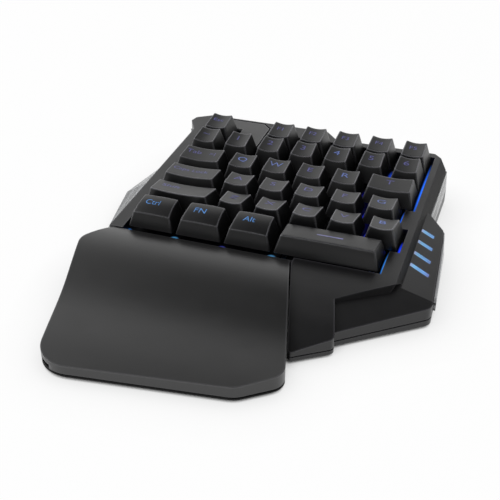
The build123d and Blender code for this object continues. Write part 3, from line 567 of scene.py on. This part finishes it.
CARRIED = {
    "top_case": Finish.CASE,
    "bottom_case": Finish.CASE,
    "palm_rest_cover": Finish.PALM,
    "palm_rest_base": Finish.UNDERSIDE,
    "badge_plate": Finish.BADGE,
    "right_light_guide": Finish.CLEAR_STRIP,
    "left_light_guide": Finish.CLEAR,
    "rubber_dome_sheet": Finish.SILICONE,
    "membrane_sheet": Finish.FILM,
    "backlight_sheet": Finish.FILM,
    "steel_base_plate": Finish.STEEL,
    "plate_screws": Finish.STEEL,
    "space_stabiliser": Finish.STEEL,
    "controller_board": Finish.BOARD,
    "controller_chip": Finish.CHIP,
    "membrane_clamp": Finish.CHIP,
    "wing_light_board": Finish.BOARD,
    "case_screws": Finish.STEEL,
    "palm_screws": Finish.STEEL,
    "rubber_feet": Finish.RUBBER,
}


def dress(piece: bpy.types.Object, finish: Finish) -> None:
    """Gives a new piece its finish, as its only material slot."""
    piece.data.materials.clear()
    piece.data.materials.append(finish.material())


# The keys


@dataclass(frozen=True)
class Deck:
    """The tilted plane that the keys stand on, with its own axes: across, along and up."""

    left: float
    front: float
    height: float = 17.0 * MM
    tilt: float = DECK_TILT

    @classmethod
    def from_frame(
        cls, plate_reach: float = 3.2 * MM, key_inset: float = 0.78 * MM, key_drop: float = 0.85 * MM
    ) -> Deck:
        """Finds the key field's corner from the guide plate's left side and the front left key's box.

        Args:
            plate_reach: How far the plate reaches past the field.
            key_inset: How far a key's foot stands inside its cell.
            key_drop: How far the foot stands under the deck.

        Returns:
            The deck.
        """
        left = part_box("key_guide_plate")[0].x + plate_reach
        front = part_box("key_ctrl")[0].y - key_inset * math.cos(DECK_TILT) - key_drop * math.sin(DECK_TILT)
        return cls(left, front)

    def place(self, points: np.ndarray) -> np.ndarray:
        """Turns deck places into row places: across stays X, along and up are turned by the tilt.

        Args:
            points: Rows of across, along and up, in metres.

        Returns:
            Rows of X, Y and Z, in metres.
        """
        across, along, up = points.T
        cosine, sine = math.cos(self.tilt), math.sin(self.tilt)
        y = self.front + along * cosine - up * sine
        z = self.height + along * sine + up * cosine
        return np.stack([self.left + across, y, z], axis=-1)


@dataclass(frozen=True)
class Legend:
    """One word or sign on a key: its finish, size, place from the top's middle, and stretch across."""

    words: str
    finish: Finish = Finish.LEGEND_FAINT
    size: float = 5.4 * MM
    across: float = -0.9 * MM
    along: float = 1.3 * MM
    stretch: float = 1.3


@dataclass(frozen=True)
class KeyProfile:
    """The top line of a row's caps: places along the cell and heights, as shares of pitch and height.

    The dish is how deep the top's middle lies under its sides, the bulge how far the line rises between its
    ends, and the edge how far the bend round the top reaches.
    """

    front_place_share: float
    back_place_share: float
    front_height_share: float
    back_height_share: float
    dish: float = 1.0 * MM
    bulge: float = 0.0
    edge: float = 0.25 * MM


@dataclass
class Keycap:
    """One keycap: a tapered shell whose top is dished across, or crowned where its dish is negative.

    Its foot stands inset in its cell and drop under the deck, and its sides lean in by side_slope. The hollow
    leaves wall at the sides and roof at the top, where the square post begins. The side and top shares place
    the rings between foot and rim, and between rim and middle. The overshoots hold the top's formula past
    its ends. From the highlight height up, the edges get a painted highlight.
    """

    name: str
    left: float
    row: int
    width: float
    profile: KeyProfile
    deck: Deck
    legends: tuple[Legend, ...]
    pitch: float = 19.05 * MM
    height: float = 10.5 * MM
    inset: float = 0.78 * MM
    drop: float = 0.85 * MM
    side_slope: float = 0.29
    wall: float = 1.3 * MM
    roof: float = 1.4 * MM
    base_radius: float = 0.9 * MM
    top_radius: float = 0.7 * MM
    hollow_radius: float = 0.8 * MM
    least_top_radius: float = 0.2 * MM
    least_base_radius: float = 0.3 * MM
    foot_bend: float = 0.25 * MM
    side_shares: tuple[float, ...] = (0.3, 0.6)
    top_shares: tuple[float, ...] = (0.8, 0.55, 0.3, 0.12)
    bend_steps: int = 5
    overshoot: float = 0.1
    side_overshoot: float = 0.2
    sharp_angle: float = math.radians(50)
    legend_lift: float = 0.05 * MM
    letter_steps: int = 3
    post_half: float = 2.45 * MM
    post_reach: float = 6.6 * MM
    post_depth_share: float = 0.7
    highlight_height: float = 4.5 * MM
    bar_steps: int = 16
    bar_thickness: float = 0.9 * MM

    def line(self, along: np.ndarray) -> np.ndarray:
        """Height of the top line along the cell: straight between its ends, plus a parabola's bulge."""
        front, back = self.ends()
        share = np.clip((along - front[0]) / (back[0] - front[0]), -self.overshoot, 1 + self.overshoot)
        return front[1] + (back[1] - front[1]) * share + 4 * self.profile.bulge * share * (1 - share)

    def ends(self) -> tuple[tuple[float, float], tuple[float, float]]:
        """The top line's two ends, each as a place along the cell and a height."""
        shape = self.profile
        front = (shape.front_place_share * self.pitch, shape.front_height_share * self.height)
        back = (shape.back_place_share * self.pitch, shape.back_height_share * self.height)
        return front, back

    def top(self, across: np.ndarray, along: np.ndarray) -> np.ndarray:
        """Height of the top: the line, less a dish that falls off with the square of the place across.

        Args:
            across: Places from the cap's middle.
            along: Places along the cell.

        Returns:
            Heights above the deck.
        """
        line = self.line(along)
        half = self.width / 2 - self.inset - self.side_slope * (line + self.drop)
        limit = 1 + self.side_overshoot
        share = np.clip(across / half, -limit, limit) ** 2
        if self.profile.dish > 0:
            return line - self.profile.dish * (1 - share)
        return line + self.profile.dish * share

    def ring(self, corners: np.ndarray, outward: np.ndarray, shrink: float, radius: float) -> np.ndarray:
        """A ring of the top, drawn in by shrink: half sizes less the radius, plus the rounded corner."""
        front, back = self.ends()
        middle = (front[0] + back[0]) / 2
        half_along = (back[0] - front[0]) / 2 - shrink
        along = middle + corners[:, 1] * (half_along - radius) + outward[:, 1] * radius
        half = self.width / 2 - self.inset - self.side_slope * (self.line(along) + self.drop) - shrink
        across = corners[:, 0] * (half - radius) + outward[:, 0] * radius
        return np.stack([across, along, self.top(across, along)], axis=-1)

    def base(self, corners: np.ndarray, outward: np.ndarray, shrink: float, up: float) -> np.ndarray:
        """A ring of the skirt at a height, drawn in by shrink."""
        radius = max(self.base_radius - shrink, self.least_base_radius)
        half_across = self.width / 2 - self.inset - shrink
        half_along = self.pitch / 2 - self.inset - shrink
        across = corners[:, 0] * (half_across - radius) + outward[:, 0] * radius
        along = self.pitch / 2 + corners[:, 1] * (half_along - radius) + outward[:, 1] * radius
        return np.stack([across, along, np.full(len(across), up)], axis=-1)

    def skin(self) -> tuple[np.ndarray, list]:
        """The shell as rings: up inside the hollow, under the skirt, up the sides, over the edge and in.

        Returns:
            Deck places of the vertices, and the faces.
        """
        corners, outward = RoundedRing().parts()
        edge = self.profile.edge
        bottom = self.base(corners, outward, 0.0, -self.drop)
        rim = self.ring(corners, outward, 0.0, self.top_radius)
        inner = self.ring(corners, outward, self.wall, self.hollow_radius)
        inner[:, 2] -= self.roof
        rows = [inner, self.base(corners, outward, self.wall, -self.drop)]
        rows.append(self.base(corners, outward, self.foot_bend, -self.drop))
        shares = (self.foot_bend / self.height, *self.side_shares)
        rows += [bottom + (rim - bottom) * share for share in shares]
        reach = np.linalg.norm(rim - bottom, axis=1)[:, None]
        wall_end = rim + (bottom - rim) * (edge / reach)
        top_start = self.ring(corners, outward, edge, max(self.top_radius - edge, self.least_top_radius))
        for share in np.linspace(0, 1, self.bend_steps):
            rows.append((1 - share) ** 2 * wall_end + 2 * share * (1 - share) * rim + share**2 * top_start)
        middle = np.array([0.0, (self.ends()[0][0] + self.ends()[1][0]) / 2])
        for share in self.top_shares:
            ring = top_start.copy()
            ring[:, :2] = middle + (ring[:, :2] - middle) * share
            ring[:, 2] = self.top(ring[:, 0], ring[:, 1])
            rows.append(ring)
        crown = np.array([middle[0], middle[1], self.top(middle[:1], middle[1:])[0]])
        roof = crown - np.array([0.0, 0.0, self.roof])
        points = np.concatenate([roof[None, :], *rows, crown[None, :]])
        return points, ring_faces(len(rows), len(corners))

    def post(self, start: int) -> tuple[np.ndarray, list]:
        """The square post under the cap, as a closed block whose numbers begin at start."""
        half = self.post_half
        sides = self.pitch / 2 + np.array([-half, half])
        low, high = -self.post_reach, self.top(np.zeros(2), sides).min() - self.roof * self.post_depth_share
        square = np.array([[-half, -half], [half, -half], [half, half], [-half, half]])
        square[:, 1] += self.pitch / 2
        rows = [np.column_stack([square, np.full(4, up)]) for up in (low, high)]
        foot = np.array([[0, self.pitch / 2, low]])
        head = np.array([[0, self.pitch / 2, high]])
        faces = [[start + v for v in face] for face in ring_faces(2, 4)]
        return np.concatenate([foot, *rows, head]), faces

    def build(self) -> bpy.types.Object:
        """Builds the cap with its lettering and puts it in the place of its CAD node.

        Returns:
            The cap's object.
        """
        shell, faces = self.skin()
        block, block_faces = self.post(len(shell))
        points = np.concatenate([shell, block])
        shift = np.array([self.left + self.width / 2, self.row * self.pitch, 0])
        piece = mesh_object(f"cap_{self.name}", self.deck.place(points + shift), faces + block_faces)
        piece.data.set_sharp_from_angle(angle=self.sharp_angle)
        # Marks the upper part of the cap, where the painted edge highlight falls
        reach = piece.data.attributes.new("highlight_reach", "FLOAT", "POINT")
        reach.data.foreach_set("value", np.clip(points[:, 2] / self.highlight_height, 0, 1).astype(np.float32))
        dress(piece, Finish.KEY)
        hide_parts(f"key_{self.name}")
        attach(piece, f"key_{self.name}")
        for number, legend in enumerate(self.legends):
            self.letter(legend, number, shift)
        return piece

    def letter(self, legend: Legend, number: int, shift: np.ndarray) -> None:
        """Lays a legend on the key's top, a hair proud of the surface; one with no words is a bar.

        Args:
            legend: The legend.
            number: Its number on this key.
            shift: The cap's place on the deck.
        """
        flat_mesh = self.words_mesh if legend.words else self.bar_mesh
        mesh = flat_mesh(legend, f"legend_{self.name}_{number}")
        flat = np.zeros(len(mesh.vertices) * 3)
        mesh.vertices.foreach_get("co", flat)
        flat = flat.reshape(-1, 3)
        front, back = self.ends()
        across = flat[:, 0] * legend.stretch + legend.across
        along = (front[0] + back[0]) / 2 + flat[:, 1] + legend.along
        raised = np.stack([across, along, self.top(across, along) + self.legend_lift], axis=-1)
        mesh.vertices.foreach_set("co", self.deck.place(raised + shift).ravel())
        mesh.update()
        piece = bpy.data.objects.new(mesh.name, mesh)
        bpy.context.scene.collection.objects.link(piece)
        dress(piece, legend.finish)
        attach(piece, f"key_{self.name}")

    def words_mesh(self, legend: Legend, name: str) -> bpy.types.Mesh:
        """The legend's words as a flat mesh round its middle."""
        curve = bpy.data.curves.new(name, "FONT")
        curve.body = legend.words
        curve.size = legend.size
        curve.align_x = "CENTER"
        curve.align_y = "CENTER"
        curve.resolution_u = self.letter_steps
        holder = bpy.data.objects.new(name, curve)
        bpy.context.scene.collection.objects.link(holder)
        bpy.context.view_layer.update()
        mesh = bpy.data.meshes.new_from_object(holder.evaluated_get(bpy.context.evaluated_depsgraph_get()))
        bpy.data.objects.remove(holder)
        mesh.name = name
        return mesh

    def bar_mesh(self, legend: Legend, name: str) -> bpy.types.Mesh:
        """A flat bar as long as the legend's size, as a strip of quads."""
        steps = self.bar_steps
        along = np.linspace(-0.5, 0.5, steps + 1) * legend.size
        sides = [np.full(steps + 1, side * self.bar_thickness / 2) for side in (-1, 1)]
        flat = np.zeros(steps + 1)
        points = np.concatenate([np.column_stack([along, side, flat]) for side in sides])
        first = np.arange(steps)
        faces = np.stack([first, first + 1, first + steps + 2, first + steps + 1], axis=-1)
        mesh = bpy.data.meshes.new(name)
        mesh.from_pydata(points.tolist(), [], faces.tolist())
        mesh.update()
        return mesh


# The keys' lettering; a key that isn't named here has its own name in the faint finish
BRIGHT = Finish.LEGEND_BRIGHT
CLEAR_KEYS = ("q", "w", "r", "4", "g", "b")
FUNCTION_KEYS = ("f1", "f2", "f3", "f4", "f5")
LEGENDS: dict[str, tuple[Legend, ...]] = {
    "ctrl": (Legend("Ctrl", BRIGHT, 4.9 * MM, -2.1 * MM, 0.8 * MM, 1.0),),
    "fn": (Legend("FN", BRIGHT, 5.0 * MM, -2.1 * MM, 0.8 * MM, 1.1),),
    "alt": (Legend("Alt", BRIGHT, 5.0 * MM, -1.8 * MM, 1.0 * MM, 1.0),),
    "space": (Legend("", Finish.LEGEND_BAR, 12.7 * MM, -0.2 * MM, -0.2 * MM, 1.0),),
    "grave": (Legend("~"),),
    "esc": (Legend("Esc", size=3.8 * MM),),
    "tab": (
        Legend("Tab", size=4.4 * MM, across=-5.2 * MM),
        Legend(">|", size=3.6 * MM, across=5.4 * MM),
    ),
    "caps": (Legend("Caps Lock", size=4.2 * MM, across=-2.0 * MM, stretch=1.1),),
    "shift": (Legend("Shift", size=4.4 * MM, across=-7.0 * MM),),
    **{key: (Legend(key.upper(), Finish.LEGEND_CLEAR),) for key in CLEAR_KEYS},
    **{key: (Legend(key.upper(), size=4.4 * MM, stretch=1.1),) for key in FUNCTION_KEYS},
}


@dataclass
class KeyField:
    """All the keycaps, row by row from the front, with widths as shares of the pitch.

    The place named land has no key: the badge plate lies there.
    """

    deck: Deck
    pitch: float = 19.05 * MM
    rows: tuple = (
        (("ctrl", 4 / 3), ("fn", 4 / 3), ("alt", 4 / 3), ("space", 2.75)),
        (("shift", 2), ("z", 1), ("x", 1), ("c", 1), ("v", 1), ("b", 1)),
        (("caps", 1.75), ("a", 1), ("s", 1), ("d", 1), ("f", 1), ("g", 1)),
        (("tab", 1.5), ("q", 1), ("w", 1), ("e", 1), ("r", 1), ("t", 1.5)),
        (("grave", 1), ("1", 1), ("2", 1), ("3", 1), ("4", 1), ("5", 1), ("6", 1)),
        (("esc", 1), ("land", 1), ("f1", 1), ("f2", 1), ("f3", 1), ("f4", 1), ("f5", 1)),
    )
    profiles: tuple = (
        KeyProfile(0.17, 0.88, 0.65, 0.87, -0.3 * MM, 0.8 * MM),
        KeyProfile(0.15, 0.85, 0.96, 0.71),
        KeyProfile(0.19, 0.86, 0.81, 0.70),
        KeyProfile(0.20, 0.85, 0.75, 0.81),
        KeyProfile(0.20, 0.87, 0.87, 1.01),
        KeyProfile(0.15, 0.88, 0.85, 0.96),
    )
    space_profile: KeyProfile = KeyProfile(0.2, 0.89, 0.8, 0.64, -0.2 * MM, 0.1 * MM, 0.8 * MM)
    legends: dict[str, tuple[Legend, ...]] = field(default_factory=LEGENDS.copy)

    def build(self) -> list[bpy.types.Object]:
        """Builds every cap and returns them."""
        caps = []
        for row, keys in enumerate(self.rows):
            left = 0.0
            for name, share in keys:
                width = share * self.pitch
                if name != "land":
                    profile = self.space_profile if name == "space" else self.profiles[row]
                    legends = self.legends.get(name, (Legend(name.upper()),))
                    caps.append(Keycap(name, left, row, width, profile, self.deck, legends).build())
                left += width
        return caps


# Carried nodes


@dataclass(frozen=True)
class Backlight:
    """The blue light that comes up past the keys: pools on the guide plate, and the wing's lit bars.

    The pools are written in millimetres of the key field.
    """

    deck: Deck
    pools: tuple[Pool, ...] = (
        Pool(132.8, 85.0, 0.85, 32.0, (0.03, 0.2, 1.2)),
        Pool(128.6, 54.0, 0.95, 9.0, (0.03, 0.2, 1.2)),
        Pool(132.9, 27.0, 0.9, 8.0, (0.01, 0.05, 1.0)),
        Pool(128.6, 12.5, 0.95, 13.0, (0.05, 0.35, 1.2)),
        Pool(109.4, 47.0, 1.2, 10.0),
        Pool(114.2, 29.0, 1.2, 9.0),
        Pool(104.8, 68.0, 2.2, 10.0, (0.005, 0.005, 0.2)),
        Pool(113.8, 95.0, 1.8, 7.0, (0.01, 0.05, 0.5)),
        Pool(112.0, 50.0, 9.0, 34.0, (0.001, 0.001, 0.02)),
        Pool(-1.0, 1.5, 3.2, 3.4, (0.06, 0.3, 0.9)),
        Pool(24.6, 1.5, 3.0, 3.6, (0.12, 0.5, 1.0)),
        Pool(50.0, 1.5, 2.8, 3.2, (0.08, 0.1, 0.7)),
        Pool(75.4, 1.5, 3.0, 3.6, (0.12, 0.5, 1.0)),
        Pool(107.0, 0.3, 14.0, 1.6, (0.02, 0.015, 0.12)),
    )

    def placed(self) -> tuple[Pool, ...]:
        """The pools in metres of the row's frame."""
        left, front = self.deck.left, self.deck.front
        return tuple(
            Pool(left + p.across * MM, front + p.along * MM, p.half_across * MM, p.half_along * MM, p.colour)
            for p in self.pools
        )

    def dress(self, nodes: dict) -> None:
        """Gives the guide plate and the lit bars their finishes.

        Args:
            nodes: The frame's nodes by name.
        """
        for slot in nodes["key_guide_plate"].material_slots:
            slot.material = Finish.GUIDE.value.material(self.placed())
        low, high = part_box("wing_lenses")
        for slot in nodes["wing_lenses"].material_slots:
            slot.material = Finish.LENS.value.material((low.x, high.x))
        LOG.info("lit the guide plate with %d pools, and the wing's bars", len(self.pools))


def dress_carried(nodes: dict) -> None:
    """Gives every carried CAD node its finish.

    Args:
        nodes: The frame's nodes by name.
    """
    for name, finish in CARRIED.items():
        for slot in nodes[name].material_slots:
            slot.material = finish.material()
        LOG.info("carried %s with %s", name, finish.value.name)


# Studio


@dataclass(frozen=True)
class Softbox:
    """A rectangular lamp: its name, place and size in metres, and power in watts."""

    name: str
    place: tuple[float, float, float]
    size: tuple[float, float]
    power: float

    def build(self) -> None:
        """Hangs the lamp and turns it to the middle of the object."""
        data = bpy.data.lights.new(self.name, "AREA")
        data.shape = "RECTANGLE"
        data.size, data.size_y = self.size
        data.energy = self.power
        lamp = bpy.data.objects.new(self.name, data)
        bpy.context.scene.collection.objects.link(lamp)
        lamp.location = self.place
        lamp.rotation_euler = (-Vector(self.place)).to_track_quat("-Z", "Y").to_euler()


@dataclass(frozen=True)
class Studio:
    """A pale floor in a white sweep, under a dim ceiling with soft lamps.

    Each sweep is a pair of directions, as shares of Z, X or Y, between which the white falls to its level.
    The painted shadow levels are stops of openness and white: they paint a shadow on the floor where the
    object covers it.
    """

    floor_half: float = 6.0
    floor_tone: float = 0.86
    soft_level: float = 0.24
    ceiling_level: float = 0.05
    sweep_top: tuple[float, float] = (0.62, 0.82)
    sweep_right: tuple[float, float] = (0.1, 0.4)
    right_level: float = 0.1
    sweep_front: tuple[float, float] = (-0.1, -0.7)
    front_level: float = 0.2
    floor_white_share: float = 0.98
    painted_shadow_reach: float = 26 * MM
    painted_shadow_levels: tuple = ((0.1, 0.0), (1.0, 1.0), (0.3, 0.5), (0.5, 0.82), (0.9, 0.97))
    lamps: tuple[Softbox, ...] = (
        Softbox("softbox_left", (-1.0, 0.0, 0.75), (0.7, 0.5), 5.4),
        Softbox("softbox_front", (-0.3, -1.0, 1.1), (0.8, 0.8), 3.0),
    )

    def build(self) -> None:
        """Builds the floor, the world and the lamps."""
        self.floor()
        self.world()
        for lamp in self.lamps:
            lamp.build()

    def floor(self) -> None:
        """A flat floor that looks white to the camera, keeps the object's real shadow in its matte share, and
        has a painted shadow near and under the object.
        """
        half = self.floor_half
        points = np.array([[-half, -half, 0], [half, -half, 0], [half, half, 0], [-half, half, 0]])
        ground = mesh_object("studio_floor", points, [[0, 1, 2, 3]], smooth=False)
        material, nodes, output = new_material("floor_white")
        matte = nodes.add("ShaderNodeBsdfDiffuse", Color=(*(self.floor_tone,) * 3, 1))
        white = nodes.add("ShaderNodeEmission")
        # Painted shadow: the white is dimmed where little round the floor is open, near and under the object
        cover = nodes.add("ShaderNodeAmbientOcclusion", samples=8, Distance=self.painted_shadow_reach)
        level = nodes.ramp(tuple((spot, (shade,) * 3) for spot, shade in self.painted_shadow_levels))
        nodes.link(cover, "AO", level, "Fac")
        nodes.link(level, "Color", white, "Color")
        share = nodes.add("ShaderNodeMath", operation="MULTIPLY")
        share.inputs[1].default_value = self.floor_white_share
        mix = nodes.add("ShaderNodeMixShader")
        nodes.link(nodes.screen_rays(), 0, share, 0)
        nodes.link(share, 0, mix, 0)
        nodes.link(matte, "BSDF", mix, 1)
        nodes.link(white, "Emission", mix, 2)
        nodes.link(mix, "Shader", output, "Surface")
        ground.data.materials.append(material)

    def world(self) -> None:
        """An even soft light; what is seen of it is a white sweep that ends in a dim ceiling."""
        world = bpy.data.worlds.new("soft_surround")
        bpy.context.scene.world = world
        world.use_nodes = True
        world.node_tree.nodes.clear()
        nodes = Nodes(world.node_tree)
        output = nodes.add("ShaderNodeOutputWorld")
        place = nodes.add("ShaderNodeTexCoord")
        parts = nodes.add("ShaderNodeSeparateXYZ")
        nodes.link(place, "Generated", parts, 0)
        soft = nodes.add("ShaderNodeBackground", Color=(1, 1, 1, 1), Strength=self.soft_level)
        seen = nodes.add("ShaderNodeBackground", Color=(1, 1, 1, 1))
        height = nodes.remap(parts, "Z", self.sweep_top, (1, self.ceiling_level))
        side = nodes.remap(parts, "X", self.sweep_right, (1, self.right_level))
        behind = nodes.remap(parts, "Y", self.sweep_front, (1, self.front_level))
        level = nodes.math("MULTIPLY", nodes.math("MULTIPLY", height, side), behind)
        nodes.link(level, 0, seen, "Strength")
        mix = nodes.add("ShaderNodeMixShader")
        nodes.link(nodes.screen_rays(), 0, mix, 0)
        nodes.link(soft, "Background", mix, 1)
        nodes.link(seen, "Background", mix, 2)
        nodes.link(mix, "Shader", output, "Surface")


@dataclass(frozen=True)
class Viewpoint:
    """The camera as it stood for the photograph, in places of the key field and the desk.

    Its axes are unit vectors in the row's frame. The focal length is counted in pixels of the frame's width.
    """

    across: float = 184.8 * MM
    along: float = -337.24 * MM
    up: float = 232.53 * MM
    focal_pixels: float = 872.8
    frame_pixels: float = 500.0
    sensor: float = 36.0
    clip_start: float = 0.01
    right_axis: tuple = (0.941916, 0.33581, 0.005057)
    down_axis: tuple = (0.178013, -0.486429, -0.855394)
    forward_axis: tuple = (-0.28479, 0.806609, -0.517954)

    def build(self, deck: Deck) -> bpy.types.Object:
        """Makes the scene's camera.

        Args:
            deck: Gives the place of the key field's corner.

        Returns:
            The camera.
        """
        data = bpy.data.cameras.new("photo_camera")
        data.sensor_width = self.sensor
        data.lens = self.focal_pixels / self.frame_pixels * self.sensor
        data.clip_start = self.clip_start
        camera = bpy.data.objects.new("photo_camera", data)
        bpy.context.scene.collection.objects.link(camera)
        axes = (self.right_axis, [-v for v in self.down_axis], [-v for v in self.forward_axis])
        place = Matrix.Translation((deck.left + self.across, deck.front + self.along, self.up))
        camera.matrix_world = place @ Matrix(axes).transposed().to_4x4()
        bpy.context.scene.camera = camera
        return camera


def main() -> None:
    """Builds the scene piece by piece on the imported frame."""
    logging.basicConfig(level=logging.INFO, format="%(name)s %(message)s")
    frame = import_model()
    deck = Deck.from_frame()
    Viewpoint().build(deck)
    bpy.context.scene.view_settings.view_transform = "Standard"
    Studio().build()
    LOG.info("built the camera and the studio")
    dress_carried(frame["nodes"])
    Backlight(deck).dress(frame["nodes"])
    for cap in KeyField(deck).build():
        LOG.info("built %s", cap.name)


if __name__ == "__main__":
    main()
